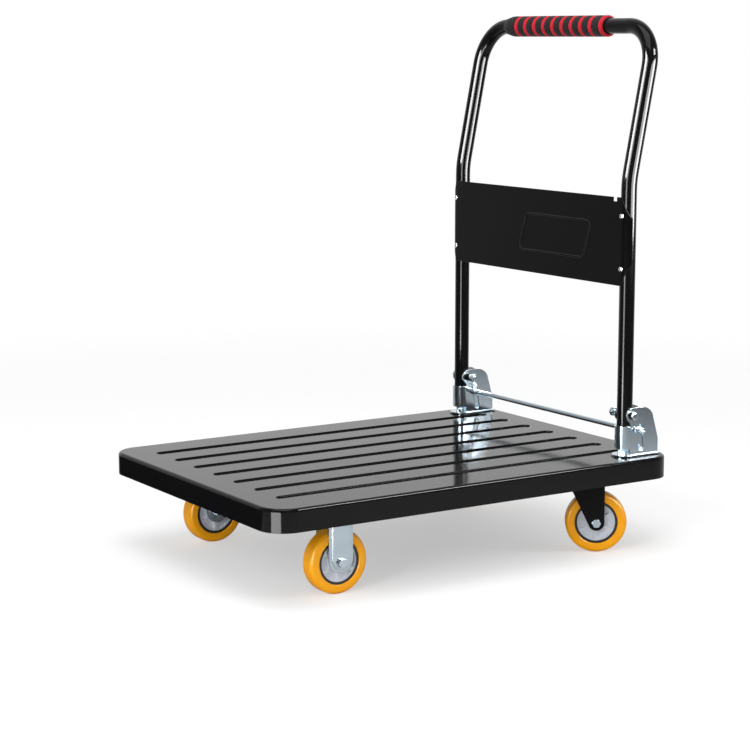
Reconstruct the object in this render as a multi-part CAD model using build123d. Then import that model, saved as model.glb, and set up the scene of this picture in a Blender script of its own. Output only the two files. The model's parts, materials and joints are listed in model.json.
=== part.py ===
from build123d import *
import os
from math import acos, atan2, cos, hypot, pi, radians, sin, sqrt, tan

# Folding platform cart, in millimetres.
# The origin is on the floor under the middle of the platform.
# +X runs to the handle's end, +Z up, and the left side is -Y.

# Deck: a pressed tray with a skirt and lengthwise grooves
deck_length = 756.0
deck_width = 540.0
deck_height = 158.5
skirt_height = 36.0
deck_sheet = 1.5
deck_corner_radius = 42.0
deck_edge_radius = 5.0
groove_count = 7
groove_leg_gap = 34.6
groove_width = 24.0
groove_depth = 2.4
groove_draft = 35.0
groove_edge_radius = 1.2
groove_front_margin = 49.0
groove_rear_margin = 43.0
seat_height = 0.8
seat_margin = 2.0

# Frame under the deck: two rails and three cross members, all open channels
rail_width = 56.0
rail_sheet = 2.0
rail_end_gap = 47.0
rail_nut_gap = 1.8
cross_width = 44.0
cross_sheet = 2.0

# Casters: where they stand and the plates that hold them
front_caster_margin = 150.0
rear_caster_margin = 125.0
caster_height = 128.0
plate_length = 90.0
plate_width = 58.0
plate_sheet = 3.0
plate_corner_radius = 6.0
caster_bolt_radius = 4.0
caster_bolt_span_x = 68.0
caster_bolt_span_y = 34.0
caster_bolt_head = 13.0
caster_bolt_head_height = 5.3
caster_nut_height = 6.5
caster_bolt_tail = 2.5
bolt_clearance = 0.4

# Wheels: tread, band, hub and bearing sleeve, turning on an axle bolt
wheel_radius = 50.0
tread_width = 30.0
tread_shoulder = 7.0
tread_lip = 1.5
band_radius = 35.0
band_width = 26.0
hub_radius = 31.0
hub_width = 24.0
boss_radius = 15.0
boss_width = 30.0
pocket_count = 6
pocket_radius = 10.5
pocket_centre = 26.0
pocket_depth = 3.0
rim_wall = 2.5
bearing_radius = 8.0
bearing_width = 32.0
axle_radius = 4.0
axle_nut = 13.0
axle_nut_height = 6.5
axle_head_height = 5.3
axle_tail = 3.0
running_clearance = 0.05

# Forks
fork_sheet = 2.5
fork_clearance = 0.5
rigid_leg_width = 42.0
rigid_leg_toe = 15.0
pad_border = 4.5
pad_height = 2.0
pad_chamfer = 1.0
swivel_trail = 18.0
swivel_rest_angle = -35.0
swivel_toe_radius = 13.0
swivel_crown_front = 27.0
swivel_disc_radius = 29.0
swivel_crown_sheet = 3.0
ball_count = 14
ball_radius = 3.0
ball_ring_radius = 20.0
ball_clearance = 0.3
race_width = 9.0
race_depth = 2.0
kingpin_radius = 5.0
kingpin_head_radius = 8.0
kingpin_head_height = 3.0
kingpin_dome = 1.5
kingpin_clearance = 0.3

# Handle: one bent tube, leaning back above its kink
tube_radius = 12.7
tube_wall = 1.5
leg_setback = 74.4
leg_inset = 40.4
kink_height = 605.0
bar_height = 849.0
handle_lean = 11.4
kink_bend_radius = 150.0
corner_bend_radius = 65.0
tube_end_front = 34.0
tube_end_rear = 25.5

# Foam grip on the top bar
grip_radius = 17.2
grip_far_gap = 4.6
grip_near_gap = 52.6
grip_taper = 14.0
grip_taper_wall = 1.5
grip_clearance = 0.05
ring_count = 9
ring_far_gap = 38.2
ring_near_gap = 32.2
ring_width = 9.0
ring_depth = 3.0
ring_proud = 0.3
ring_edge_radius = 1.8

# Panel across the front of both legs
panel_sheet = 1.2
panel_bottom = 437.0
panel_top = 579.0
panel_gap = 0.05
panel_wrap_angle = 80.0
panel_tab_bottom = 472.0
panel_tab_top = 545.0
panel_notch_depth = 7.0
panel_notch_width = 9.0
frame_length = 176.0
frame_height = 62.0
frame_slant = 21.0
frame_centre_y = -55.0
frame_centre_z = 505.5
frame_corner_radius = 9.0
frame_line = 3.0
frame_rise = 1.2
rivet_low = 464.0
rivet_high = 549.0
rivet_radius = 2.4
rivet_head_radius = 4.3
rivet_head_height = 2.2
rivet_dome = 2.0
rivet_tail = 3.0

# Hinge brackets: bent sheet with a half-round socket, two cheeks and a foot
bracket_sheet = 2.5
socket_clearance = 0.5
socket_lift = 10.0
fold_clearance = 1.0
pivot_setback = 4.0
pivot_height = 68.0
lobe_radius = 12.5
neck_radius = 6.0
cheek_flat = 20.0
cheek_shoulder_x = 42.0
cheek_shoulder_drop = 13.0
cheek_rear = 54.0
cheek_waist_height = 26.0
foot_sheet = 2.5
foot_overhang = 4.0
bracket_bolt_radius = 3.0
bracket_bolt_head = 10.0
bracket_bolt_head_height = 4.0
bracket_bolt_tail = 2.0
bracket_bolt_setback = 10.0
bracket_nut_height = 5.0

# Pivots: a sleeve through each leg that turns in the cheeks, with a pin inside
bush_radius = 7.0
bush_stand = 3.0
pin_radius = 4.0
pin_clearance = 0.05
pin_head_radius = 6.5
pin_head_height = 4.0
pin_dome = 2.5
pivot_nut = 13.0
pivot_nut_height = 6.0

# Lock rod, which slides down the cheeks' slots to free the legs
rod_radius = 4.0
rod_behind_tube = 0.65
rod_height = 40.5
rod_travel = 27.5
rod_travel_lean = 12.0
rod_tail = 7.0
rod_end_chamfer = 1.0
slot_width = 11.0
slot_bow = 0.9
slot_headroom = 8.0
washer_radius = 8.5
washer_thickness = 1.6
rod_nut = 13.0
rod_nut_height = 6.5
collar_radius = 6.5
collar_width = 4.0
side_play = 0.3

# Tension springs from the pivot pins to the rod
wire_radius = 0.6
coil_radius = 3.9
coil_pitch = 1.8
coil_turns = 7
hook_clearance = 0.3
hook_open_angle = 65.0
spring_stand = 5.5
hook_arcs = 4
arcs_per_turn = 4
samples_per_arc = 6

# Places that follow from the sizes above
side_sign = {"left": -1, "right": 1}
deck_under = deck_height - deck_sheet
groove_under = deck_under - groove_depth
leg_x = deck_length / 2 - leg_setback
leg_half_span = deck_width / 2 - leg_inset
pivot_x = leg_x + pivot_setback
front_caster_x = -deck_length / 2 + front_caster_margin
rear_caster_x = deck_length / 2 - rear_caster_margin
groove_pitch = 2 * (leg_half_span - groove_leg_gap) / (groove_count - 1)
skirt_bottom = deck_height - skirt_height
seat_top = deck_height + seat_height
bracket_nut_reach = bracket_bolt_head / sqrt(3)
caster_y = leg_half_span - bracket_nut_reach - rail_nut_gap - rail_width / 2
plate_bottom = caster_height - plate_sheet
rail_floor = caster_height + rail_sheet
caster_nut_top = rail_floor + caster_nut_height
groove_start = -deck_length / 2 + groove_front_margin
groove_length = deck_length - groove_front_margin - groove_rear_margin
bar_x = leg_x + (bar_height - kink_height) * tan(radians(handle_lean))
bend_start = leg_half_span - corner_bend_radius
grip_far_end = bend_start - grip_far_gap
grip_near_end = grip_near_gap - bend_start
ring_first = grip_far_end - ring_far_gap
ring_last = grip_near_end + ring_near_gap
ring_pitch = (ring_first - ring_last) / (ring_count - 1)
pivot_z = deck_height + pivot_height
socket_top = pivot_z - pivot_setback - tube_radius - fold_clearance
socket_inner = tube_radius + socket_clearance
socket_outer = socket_inner + bracket_sheet
foot_top = seat_top + foot_sheet
rod_x = leg_x + tube_radius + rod_behind_tube + rod_radius
rod_z = deck_height + rod_height
rod_dir = (sin(radians(rod_travel_lean)), -cos(radians(rod_travel_lean)))
fork_inner = bearing_width / 2 + fork_clearance
fork_outer = fork_inner + fork_sheet
ball_z = plate_bottom - race_depth - ball_clearance - ball_radius
crown_top = ball_z - ball_radius - ball_clearance
crown_bottom = crown_top - swivel_crown_sheet
panel_back = leg_x - tube_radius - panel_gap
panel_face = panel_back - panel_sheet
rivet_end = leg_x - tube_radius + tube_wall + rivet_tail
pin_inner_end = leg_half_span - socket_outer - bush_stand - 2 * spring_stand
bolt_rear_x = pivot_x + cheek_rear - bracket_bolt_setback

os.makedirs("parts", exist_ok=True)


def save(node, solids):
    """Write one node, a single solid or a list of separate ones."""
    shape = Compound(solids) if isinstance(solids, list) else solids
    export_step(shape, f"parts/{node}.step")


def block(x, y, z):
    """Box from three pairs of lowest and highest values."""
    centre = Pos((x[0] + x[1]) / 2, (y[0] + y[1]) / 2, (z[0] + z[1]) / 2)
    return centre * Box(x[1] - x[0], y[1] - y[0], z[1] - z[0])


def bar_z(radius, z, x=0.0, y=0.0):
    """Upright round bar between two heights."""
    return Pos(x, y, (z[0] + z[1]) / 2) * Cylinder(radius, z[1] - z[0])


def bar_y(radius, y, x=0.0, z=0.0):
    """Round bar across the cart between two values of Y."""
    low, high = min(y), max(y)
    return Pos(x, (low + high) / 2, z) * Rot(90, 0, 0) * Cylinder(radius, high - low)


def bar_x_way(radius, x, y, z):
    """Round bar along the cart between two values of X."""
    return Pos((x[0] + x[1]) / 2, y, z) * Rot(0, 90, 0) * Cylinder(radius, x[1] - x[0])


def hex_z(across, z, x=0.0, y=0.0):
    """Upright hexagon bar between two heights."""
    face = RegularPolygon(across / 2, 6, major_radius=False)
    return Pos(x, y, z[0]) * extrude(face, z[1] - z[0])


def hex_y(across, y, x=0.0, z=0.0):
    """Hexagon bar across the cart between two values of Y."""
    low, high = min(y), max(y)
    face = RegularPolygon(across / 2, 6, major_radius=False)
    return Pos(x, high, z) * Rot(90, 0, 0) * extrude(face, high - low)


def plate_xz(outline, y):
    """Flat plate with its outline drawn in the XZ plane, between two values of Y."""
    low, high = min(y), max(y)
    return Pos(0, low, 0) * extrude(make_face(outline), high - low, dir=(0, 1, 0))


def at(x, z):
    """Point of an outline in the XZ plane."""
    return (x, 0.0, z)


def round_edge(shape, axis, radius):
    """Round the edges of the face that lies furthest along an axis."""
    return fillet(shape.faces().sort_by(axis)[-1].edges(), radius)


# Deck

def groove_solids(top, margin):
    """Drafted bars, one for each groove, hanging from a height and widened by a margin."""
    first = -(groove_count - 1) / 2 * groove_pitch
    middle = groove_start + groove_length / 2
    slot = SlotOverall(groove_length + 2 * margin, groove_width + 2 * margin)
    bar = extrude(slot, -groove_depth, taper=groove_draft)
    return [Pos(middle, first + i * groove_pitch, top) * bar for i in range(groove_count)]


def bracket_foot_outline(sign, margin):
    """Outline of a bracket's foot: square at the rear and half-round under the socket."""
    half = socket_outer + foot_overhang + margin
    rear = pivot_x + cheek_rear + margin
    y = sign * leg_half_span
    main = Pos((leg_x + rear) / 2, y) * Rectangle(rear - leg_x, 2 * half)
    return main + Pos(leg_x, y) * Circle(half)


def make_deck():
    """Tray with a rounded rim, grooves pressed down and a raised seat for each bracket."""
    outer = Pos(0, 0, skirt_bottom) * extrude(
        RectangleRounded(deck_length, deck_width, deck_corner_radius), skirt_height
    )
    outer = round_edge(outer, Axis.Z, deck_edge_radius)
    inner = Pos(0, 0, skirt_bottom) * extrude(
        RectangleRounded(
            deck_length - 2 * deck_sheet,
            deck_width - 2 * deck_sheet,
            deck_corner_radius - deck_sheet,
        ),
        skirt_height - deck_sheet,
    )
    inner = round_edge(inner, Axis.Z, deck_edge_radius - deck_sheet)
    tray = outer - inner + groove_solids(deck_under, deck_sheet) - groove_solids(deck_height, 0.0)
    rim = tray.faces().filter_by(Axis.Z).sort_by(Axis.Z)[-1]
    grooves = [edge for wire in rim.inner_wires() for edge in wire.edges()]
    tray = fillet(grooves, groove_edge_radius)
    for sign in side_sign.values():
        seat = extrude(bracket_foot_outline(sign, seat_margin), seat_height)
        tray = tray + Pos(0, 0, deck_height) * seat
        for x in (leg_x, bolt_rear_x):
            hole = bracket_bolt_radius + bolt_clearance
            tray = tray - bar_z(hole, (groove_under, seat_top), x, sign * leg_half_span)
    return tray


# Frame under the deck

def caster_holes(x, y, radius, z):
    """Four upright bars through a caster plate's corners."""
    return [
        bar_z(radius, z, x + i * caster_bolt_span_x / 2, y + j * caster_bolt_span_y / 2)
        for i in (-1, 1)
        for j in (-1, 1)
    ]


def make_rail(sign):
    """Lengthwise channel, open to the deck, with holes for the caster bolts and kingpin."""
    half = deck_length / 2 - rail_end_gap
    y = sign * caster_y
    inner = rail_width / 2 - rail_sheet
    shell = block(
        (-half, half), (y - rail_width / 2, y + rail_width / 2), (caster_height, deck_under)
    )
    hollow = block((-half, half), (y - inner, y + inner), (rail_floor, deck_under))
    rail = shell - hollow - groove_solids(deck_under, deck_sheet)
    hole = caster_bolt_radius + bolt_clearance
    for x in (front_caster_x, rear_caster_x):
        rail = rail - caster_holes(x, y, hole, (caster_height, rail_floor))
    king = kingpin_head_radius + bolt_clearance
    return rail - bar_z(king, (caster_height, rail_floor), rear_caster_x, y)


def make_cross_member(x):
    """Channel between the two rails, up to the undersides of the grooves."""
    half = caster_y - rail_width / 2
    shell = block(
        (x - cross_width / 2, x + cross_width / 2), (-half, half), (caster_height, groove_under)
    )
    inner = cross_width / 2 - cross_sheet
    return shell - block(
        (x - inner, x + inner), (-half, half), (caster_height + cross_sheet, groove_under)
    )


# Casters, each modelled about the middle of its plate, on the floor

def make_plate():
    """Caster plate with its four bolt holes."""
    face = RectangleRounded(plate_length, plate_width, plate_corner_radius)
    plate = Pos(0, 0, plate_bottom) * extrude(face, plate_sheet)
    hole = caster_bolt_radius + bolt_clearance
    return plate - caster_holes(0.0, 0.0, hole, (plate_bottom, caster_height))


def rigid_leg(half_width, toe, top, y):
    """Straight leg with a half-round toe below the axle."""
    bend = wheel_radius - toe + half_width
    outline = Polyline(at(-half_width, bend), at(-half_width, top), at(half_width, top))
    outline += Line(at(half_width, top), at(half_width, bend))
    outline += ThreePointArc(
        at(half_width, bend), at(0, wheel_radius - toe), at(-half_width, bend)
    )
    return plate_xz(outline, y)


def make_rigid_fork():
    """Plate with two legs, each with a raised field inside a flat border."""
    fork = make_plate()
    half = rigid_leg_width / 2
    for sign in side_sign.values():
        y = (sign * fork_inner, sign * fork_outer)
        fork = fork + rigid_leg(half, rigid_leg_toe, plate_bottom, y)
        field = rigid_leg(
            half - pad_border,
            rigid_leg_toe - pad_border,
            plate_bottom - pad_border,
            (sign * fork_outer, sign * (fork_outer + pad_height)),
        )
        face = field.faces().sort_by(Axis.Y)[-1 if sign > 0 else 0]
        fork = fork + chamfer(face.edges(), pad_chamfer)
    reach = fork_outer + pad_height
    return fork - bar_y(axle_radius + running_clearance, (-reach, reach), 0.0, wheel_radius)


def make_swivel_fork():
    """Crown disc with two legs that sweep back to the axle."""
    rear = swivel_trail + swivel_toe_radius
    front = (-swivel_crown_front, crown_bottom)
    to_front = atan2(front[1] - wheel_radius, front[0] - swivel_trail)
    spread = acos(
        swivel_toe_radius / hypot(front[0] - swivel_trail, front[1] - wheel_radius)
    )
    tangent = to_front + spread
    middle = (tangent - 2 * pi) / 2

    def toe(angle):
        return at(
            swivel_trail + swivel_toe_radius * cos(angle),
            wheel_radius + swivel_toe_radius * sin(angle),
        )

    outline = Polyline(toe(tangent), at(*front), at(front[0], crown_top), at(rear, crown_top))
    outline += Line(at(rear, crown_top), toe(0.0))
    outline += ThreePointArc(toe(0.0), toe(middle), toe(tangent))
    fork = block((front[0], rear), (-fork_outer, fork_outer), (crown_bottom, crown_top))
    fork = fork + bar_z(swivel_disc_radius, (crown_bottom, crown_top))
    for sign in side_sign.values():
        fork = fork + plate_xz(outline, (sign * fork_inner, sign * fork_outer))
    fork = fork - bar_z(kingpin_radius + running_clearance, (crown_bottom, crown_top))
    axle = axle_radius + running_clearance
    return fork - bar_y(axle, (-fork_outer, fork_outer), swivel_trail, wheel_radius)


def make_swivel_plate():
    """Plate with the upper ball race and a kingpin hole."""
    inner = ball_ring_radius - race_width / 2
    outer = ball_ring_radius + race_width / 2
    depth = (plate_bottom - race_depth, plate_bottom)
    race = bar_z(outer, depth) - bar_z(inner, depth)
    return make_plate() + race - bar_z(kingpin_radius, (plate_bottom, caster_height))


def make_balls():
    """Ring of balls between the crown and the race."""
    return [
        Rot(0, 0, i * 360 / ball_count) * Pos(ball_ring_radius, 0, ball_z) * Sphere(ball_radius)
        for i in range(ball_count)
    ]


def make_kingpin():
    """Rivet through the plate and the crown, with a head at each end."""
    low = crown_bottom - kingpin_clearance
    shank = bar_z(kingpin_radius, (low, caster_height))
    foot = bar_z(kingpin_head_radius, (low - kingpin_head_height, low))
    foot = fillet(foot.faces().sort_by(Axis.Z)[0].edges(), kingpin_dome)
    head = bar_z(kingpin_head_radius, (caster_height, rail_floor))
    return shank + foot + head


def make_axle(x, reach):
    """Bolt across a fork with a hexagon head on the left and a tail for its nut."""
    end = reach + axle_nut_height + axle_tail
    head = hex_y(axle_nut, (-reach - axle_head_height, -reach), x, wheel_radius)
    return bar_y(axle_radius, (-reach, end), x, wheel_radius) + head


def make_axle_nut(x, reach):
    """Nut on the axle's tail."""
    nut = hex_y(axle_nut, (reach, reach + axle_nut_height), x, wheel_radius)
    return nut - bar_y(axle_radius, (reach, reach + axle_nut_height), x, wheel_radius)


def make_caster_bolt():
    """Hexagon bolt, head down, through a caster plate and a rail's floor."""
    head = hex_z(caster_bolt_head, (plate_bottom - caster_bolt_head_height, plate_bottom))
    return head + bar_z(caster_bolt_radius, (plate_bottom, caster_nut_top + caster_bolt_tail))


def make_caster_nut():
    """Nut on a rail's floor."""
    z = (rail_floor, caster_nut_top)
    return hex_z(caster_bolt_head, z) - bar_z(caster_bolt_radius, z)


# Wheels, each modelled upright about its own centre, with its axis along Z

def make_tyre():
    """Tread ring with rounded shoulders and a lip beside the band."""
    ring = Cylinder(wheel_radius, tread_width) - Cylinder(band_radius, tread_width)
    ring = chamfer(ring.edges().filter_by(GeomType.CIRCLE).group_by(SortBy.RADIUS)[0], tread_lip)
    rims = ring.edges().filter_by(GeomType.CIRCLE).group_by(SortBy.RADIUS)[-1]
    return fillet(rims, tread_shoulder)


def make_band():
    """Ring between the tread and the hub."""
    return Cylinder(band_radius, band_width) - Cylinder(hub_radius, band_width)


def make_hub():
    """Hub with a boss and a ring of arched pockets in each face."""
    hub = Cylinder(hub_radius, hub_width) + Cylinder(boss_radius, boss_width)
    bowl = Circle(hub_radius - rim_wall) - Circle(boss_radius + rim_wall)
    arch = Pos(pocket_centre, 0) * Circle(pocket_radius)
    pocket = extrude(bowl & arch, pocket_depth)
    for i in range(pocket_count):
        turn = Rot(0, 0, i * 360 / pocket_count)
        hub = hub - turn * Pos(0, 0, hub_width / 2 - pocket_depth) * pocket
        hub = hub - turn * Pos(0, 0, -hub_width / 2) * pocket
    return hub - Cylinder(bearing_radius, boss_width)


def make_bearing():
    """Sleeve that turns on the axle."""
    bore = axle_radius + running_clearance
    return Cylinder(bearing_radius, bearing_width) - Cylinder(bore, bearing_width)


# Handle

def make_tube():
    """Both legs and the bar as one bent tube, its lower ends cut on the slant."""
    foot = pivot_z - tube_end_front
    points = [
        (leg_x, -leg_half_span, foot),
        (leg_x, -leg_half_span, kink_height),
        (bar_x, -leg_half_span, bar_height),
        (bar_x, leg_half_span, bar_height),
        (leg_x, leg_half_span, kink_height),
        (leg_x, leg_half_span, foot),
    ]
    radii = [kink_bend_radius, corner_bend_radius, corner_bend_radius, kink_bend_radius]
    path = FilletPolyline(*points, radius=radii)
    section = Circle(tube_radius) - Circle(tube_radius - tube_wall)
    tube = sweep(Pos(*points[0]) * section, path=path)
    front = leg_x - tube_radius
    rear = leg_x + tube_radius
    outline = Polyline(
        at(front, foot),
        at(rear, pivot_z - tube_end_rear),
        at(rear, foot - tube_radius),
        at(front, foot - tube_radius),
        close=True,
    )
    tube = tube - plate_xz(outline, (-leg_half_span - tube_radius, leg_half_span + tube_radius))
    for sign in side_sign.values():
        y = (sign * (leg_half_span - tube_radius), sign * (leg_half_span + tube_radius))
        tube = tube - bar_y(bush_radius, y, pivot_x, pivot_z)
        for z in (rivet_low, rivet_high):
            tube = tube - rivet_shank(sign, z)
    return tube


def rivet_shank(sign, z):
    """Round bar from the panel's face through the tube's front wall."""
    return bar_x_way(rivet_radius, (panel_face, rivet_end), sign * leg_half_span, z)


def make_rivet(sign, z):
    """Rivet with a domed head on the panel and a tail inside the tube."""
    span = (panel_face - rivet_head_height, panel_face)
    head = bar_x_way(rivet_head_radius, span, sign * leg_half_span, z)
    head = fillet(head.faces().sort_by(Axis.X)[0].edges(), rivet_dome)
    return head + rivet_shank(sign, z)


def ring_places():
    """Where the rings stand along the grip; the last one closes its near end."""
    places = [ring_first - i * ring_pitch for i in range(ring_count)]
    return places + [grip_near_end + ring_width / 2]


def make_grip():
    """Foam sleeve with a tapered far end and a groove for each ring."""
    shoulder = grip_far_end - grip_taper
    sleeve = bar_y(grip_radius, (grip_near_end, shoulder), bar_x, bar_height)
    small = tube_radius + grip_taper_wall
    taper = Pos(bar_x, (shoulder + grip_far_end) / 2, bar_height) * Rot(90, 0, 0)
    sleeve = sleeve + taper * Cone(small, grip_radius, grip_taper)
    for y in ring_places():
        span = (y - ring_width / 2, y + ring_width / 2)
        groove = bar_y(grip_radius, span, bar_x, bar_height)
        sleeve = sleeve - (groove - bar_y(grip_radius - ring_depth, span, bar_x, bar_height))
    bore = tube_radius + grip_clearance
    return sleeve - bar_y(bore, (grip_near_end, grip_far_end), bar_x, bar_height)


def make_rings():
    """Foam rings that fill the grip's grooves and stand a little proud."""
    rings = []
    for y in ring_places():
        span = (y - ring_width / 2, y + ring_width / 2)
        ring = bar_y(grip_radius + ring_proud, span, bar_x, bar_height)
        ring = fillet(ring.edges().filter_by(GeomType.CIRCLE), ring_edge_radius)
        rings.append(ring - bar_y(grip_radius - ring_depth, span, bar_x, bar_height))
    return rings


def slanted_frame(margin):
    """Slanted outline with rounded corners, drawn across the panel's face."""
    half_long = frame_length / 2 + margin
    half_high = frame_height / 2 + margin
    lean = frame_slant / 2
    corners = [
        (lean - half_long, half_high),
        (lean + half_long, half_high),
        (half_long - lean, -half_high),
        (-half_long - lean, -half_high),
    ]
    face = make_face(Polyline(*corners, close=True))
    return fillet(face.vertices(), frame_corner_radius + margin)


def make_panel():
    """Sheet across the legs' fronts that wraps round the outside of both legs."""
    inner = tube_radius + panel_gap
    outer = inner + panel_sheet
    high = panel_top - panel_bottom
    middle = (panel_top + panel_bottom) / 2
    flat = block(
        (panel_face, panel_back), (-leg_half_span, leg_half_span), (panel_bottom, panel_top)
    )
    sweep_angle = radians(panel_wrap_angle)
    edge = leg_half_span + outer * sin(sweep_angle)
    for sign in side_sign.values():
        ring = Pos(leg_x, sign * leg_half_span, middle) * (
            Cylinder(outer, high) - Cylinder(inner, high)
        )
        limit = leg_x - inner * cos(sweep_angle)
        y = sorted((sign * leg_half_span, sign * (leg_half_span + outer)))
        keep = block((panel_face, limit), y, (panel_bottom, panel_top))
        flat = flat + (ring & keep)
        for tip, end in ((panel_top, panel_tab_top), (panel_bottom, panel_tab_bottom)):
            corner = Polyline(
                (0, sign * leg_half_span, tip),
                (0, sign * edge, end),
                (0, sign * (edge + outer), end),
                (0, sign * (edge + outer), tip),
                close=True,
            )
            cut = extrude(make_face(corner), outer, dir=(1, 0, 0))
            flat = flat - Pos(panel_face, 0, 0) * cut
        start = leg_half_span - tube_radius
        y = sorted((sign * (start - panel_notch_width), sign * start))
        notch = block((panel_face, panel_back), y, (panel_top - panel_notch_depth, panel_top))
        flat = flat - notch
        for z in (rivet_low, rivet_high):
            flat = flat - rivet_shank(sign, z)
    line = slanted_frame(frame_line / 2) - slanted_frame(-frame_line / 2)
    centre = (panel_face, frame_centre_y, frame_centre_z)
    on_panel = Plane(origin=centre, x_dir=(0, -1, 0), z_dir=(-1, 0, 0))
    return flat + on_panel * extrude(line, frame_rise)


def pivot_span(sign, low, high):
    """Two values of Y, given as distances from the cart's middle."""
    return (sign * low, sign * high)


def make_bush(sign):
    """Sleeve welded through a leg, standing out of both cheeks."""
    reach = socket_outer + bush_stand
    y = pivot_span(sign, leg_half_span - reach, leg_half_span + reach)
    bush = bar_y(bush_radius, y, pivot_x, pivot_z)
    return bush - bar_y(pin_radius + pin_clearance, y, pivot_x, pivot_z)


def make_pin(sign):
    """Pin through the bush, with a domed head outside and a long inner end for the spring."""
    outer = leg_half_span + socket_outer + bush_stand
    inner = pin_inner_end - pivot_nut_height - pin_radius / 2
    shank = bar_y(pin_radius, pivot_span(sign, inner, outer), pivot_x, pivot_z)
    head = bar_y(pin_head_radius, pivot_span(sign, outer, outer + pin_head_height), pivot_x, pivot_z)
    face = head.faces().sort_by(Axis.Y)[-1 if sign > 0 else 0]
    return shank + fillet(face.edges(), pin_dome)


def make_pivot_nut(sign):
    """Nut on the pin's inner end that keeps the spring's hook on."""
    y = pivot_span(sign, pin_inner_end - pivot_nut_height, pin_inner_end)
    nut = hex_y(pivot_nut, y, pivot_x, pivot_z)
    return nut - bar_y(pin_radius, y, pivot_x, pivot_z)


# Hinge brackets

def cheek_outline():
    """Side view of a bracket: socket edge, neck, lobe round the pivot and sloping rear."""
    top = pivot_z + lobe_radius
    gap = pivot_x - leg_x + neck_radius
    rise = sqrt((lobe_radius + neck_radius) ** 2 - gap**2)
    neck_z = pivot_z - rise
    share = lobe_radius / (lobe_radius + neck_radius)
    meet = (pivot_x - gap * share, pivot_z - rise * share)
    neck_turn = atan2(rise, gap) / 2
    neck_middle = (
        leg_x - neck_radius + neck_radius * cos(neck_turn),
        neck_z + neck_radius * sin(neck_turn),
    )
    lobe_turn = (pi + atan2(rise, gap) + pi / 2) / 2
    lobe_middle = (pivot_x + lobe_radius * cos(lobe_turn), pivot_z + lobe_radius * sin(lobe_turn))
    flat_end = (pivot_x + cheek_flat, top)
    shoulder = (pivot_x + cheek_shoulder_x, top - cheek_shoulder_drop)
    waist = (pivot_x + cheek_rear, deck_height + cheek_waist_height)
    outline = Line(at(leg_x, foot_top), at(leg_x, neck_z))
    outline += ThreePointArc(at(leg_x, neck_z), at(*neck_middle), at(*meet))
    outline += ThreePointArc(at(*meet), at(*lobe_middle), at(pivot_x, top))
    outline += Line(at(pivot_x, top), at(*flat_end))
    outline += TangentArc(at(*flat_end), at(*shoulder), tangent=(1, 0, 0))
    outline += Polyline(at(*shoulder), at(*waist), at(waist[0], foot_top), at(leg_x, foot_top))
    return outline


def slot_cutter(y):
    """Bowed slot that the lock rod slides in, as a bar across a bracket."""
    start = (rod_x - rod_dir[0] * slot_headroom, rod_z - rod_dir[1] * slot_headroom)
    end = (rod_x + rod_dir[0] * rod_travel, rod_z + rod_dir[1] * rod_travel)
    bowed = (
        (start[0] + end[0]) / 2 - rod_dir[1] * slot_bow,
        (start[1] + end[1]) / 2 + rod_dir[0] * slot_bow,
    )
    face = Plane.XZ * SlotArc(ThreePointArc(start, bowed, end), slot_width)
    return Pos(0, min(y), 0) * extrude(face, abs(y[1] - y[0]), dir=(0, 1, 0))


def make_bracket(sign):
    """Foot, raised half-round socket and two cheeks, with pivot holes, slots and bolt holes."""
    y = sign * leg_half_span
    foot = Pos(0, 0, seat_top) * extrude(bracket_foot_outline(sign, 0.0), foot_sheet)
    high = (foot_top + socket_lift, socket_top)
    socket = bar_z(socket_outer, high, leg_x, y) - bar_z(socket_inner, high, leg_x, y)
    front_half = (leg_x - socket_outer, leg_x)
    socket = socket & block(front_half, (y - socket_outer, y + socket_outer), high)
    bracket = foot + socket
    for side in side_sign.values():
        span = (y + side * socket_inner, y + side * socket_outer)
        bracket = bracket + plate_xz(cheek_outline(), span)
    across = (y - socket_outer, y + socket_outer)
    bracket = bracket - slot_cutter(across)
    bracket = bracket - bar_y(bush_radius + running_clearance, across, pivot_x, pivot_z)
    for x in (leg_x, bolt_rear_x):
        bracket = bracket - bar_z(bracket_bolt_radius + bolt_clearance, (seat_top, foot_top), x, y)
    return bracket


def make_bracket_bolt(x, y):
    """Hexagon bolt from above through a bracket's foot and the deck."""
    head = hex_z(bracket_bolt_head, (foot_top, foot_top + bracket_bolt_head_height), x, y)
    end = deck_under - bracket_nut_height - bracket_bolt_tail
    return head + bar_z(bracket_bolt_radius, (end, foot_top), x, y)


def make_bracket_nut(x, y):
    """Nut against the deck's underside."""
    z = (deck_under - bracket_nut_height, deck_under)
    return hex_z(bracket_bolt_head, z, x, y) - bar_z(bracket_bolt_radius, z, x, y)


# Lock rod

def rod_stack():
    """Distances from the middle where the rod's washer, nut and tail begin and end."""
    washer = leg_half_span + socket_outer + side_play
    nut = washer + washer_thickness
    return washer, nut, nut + rod_nut_height


def make_rod():
    """Plain rod across both brackets."""
    end = rod_stack()[2] + rod_tail
    rod = bar_y(rod_radius, (-end, end), rod_x, rod_z)
    return chamfer(rod.edges().filter_by(GeomType.CIRCLE), rod_end_chamfer)


def make_rod_washer(sign):
    """Washer outside a bracket."""
    washer, nut, _ = rod_stack()
    y = pivot_span(sign, washer, nut)
    return bar_y(washer_radius, y, rod_x, rod_z) - bar_y(rod_radius, y, rod_x, rod_z)


def make_rod_nut(sign):
    """Nut outside the washer."""
    _, nut, tail = rod_stack()
    y = pivot_span(sign, nut, tail)
    return hex_y(rod_nut, y, rod_x, rod_z) - bar_y(rod_radius, y, rod_x, rod_z)


def make_rod_collar(sign):
    """Collar inside a bracket."""
    start = leg_half_span - socket_outer - side_play
    y = pivot_span(sign, start - collar_width, start)
    return bar_y(collar_radius, y, rod_x, rod_z) - bar_y(rod_radius, y, rod_x, rod_z)


# Springs

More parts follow.
